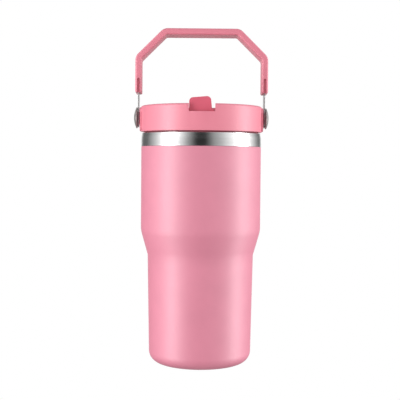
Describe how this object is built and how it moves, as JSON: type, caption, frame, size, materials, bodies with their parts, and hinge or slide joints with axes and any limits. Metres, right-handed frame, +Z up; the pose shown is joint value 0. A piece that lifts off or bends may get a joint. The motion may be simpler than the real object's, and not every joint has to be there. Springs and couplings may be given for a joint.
{
  "type": "insulated tumbler with lid",
  "caption": "Double-walled steel tumbler with a stepped waist, screw-in lid, flip-up straw spout and a faceted carry handle that swings on side pivots.",
  "frame": {"origin": "centre of the base, on the surface that the tumbler stands on", "axes": "+Z up along the cup's axis, -Y towards the spout's thumb tab, X along the handle's pivots"},
  "size_m": [0.099, 0.0892, 0.2453],
  "materials": {
    "powder_coat": "satin",
    "bare_steel": "polished",
    "getter_metal": "matte",
    "lid_plastic": "satin",
    "plug_plastic": "satin",
    "foam": "matte",
    "silicone": "satin",
    "straw_plastic": "gloss",
    "spout_plastic": "satin",
    "insert_brass": "machined",
    "button_steel": "satin",
    "strap_steel": "satin",
    "nylon": "matte",
    "grip_plastic": "satin"
  },
  "bodies": {
    "cup": {"outer_shell": "powder_coat", "inner_liner": "bare_steel", "base_plate": "bare_steel", "vacuum_getter": "getter_metal", "evacuation_seal": "getter_metal"},
    "seal": {"lid_gasket": "silicone"},
    "lid": {"lid_cap": "lid_plastic", "spout_cradle": "lid_plastic", "lid_plug": "plug_plastic", "straw_tube": "plug_plastic", "lid_foam": "foam", "port_seal": "silicone", "straw_socket": "silicone", "straw": "straw_plastic", "vent_valve": "silicone", "spout_pin_left": "bare_steel", "spout_pin_right": "bare_steel", "pivot_insert_left": "insert_brass", "pivot_insert_right": "insert_brass", "pivot_stud_left": "button_steel", "pivot_stud_right": "button_steel", "wave_washer_left": "bare_steel", "wave_washer_right": "bare_steel"},
    "spout": {"spout": "spout_plastic"},
    "handle": {"handle_strap": "strap_steel", "handle_grip": "grip_plastic", "strap_bush_left": "nylon", "strap_bush_right": "nylon"}
  },
  "joints": [
    {"name": "lid_lift", "type": "slide", "parent": "cup", "child": "seal", "axis": [0, 0, 1], "range_m": [0, 0.17]},
    {"name": "lid_turn", "type": "hinge", "parent": "seal", "child": "lid", "pos_m": [0, 0, 0.16], "axis": [0, 0, 1], "range_deg": [0, 300]},
    {"name": "spout_flip", "type": "hinge", "parent": "lid", "child": "spout", "pos_m": [0, 0.006, 0.1798], "axis": [-1, 0, 0], "range_deg": [0, 90]},
    {"name": "handle_swing", "type": "hinge", "parent": "lid", "child": "handle", "pos_m": [0, 0, 0.18], "axis": [1, 0, 0], "range_deg": [-117, 123]}
  ]
}
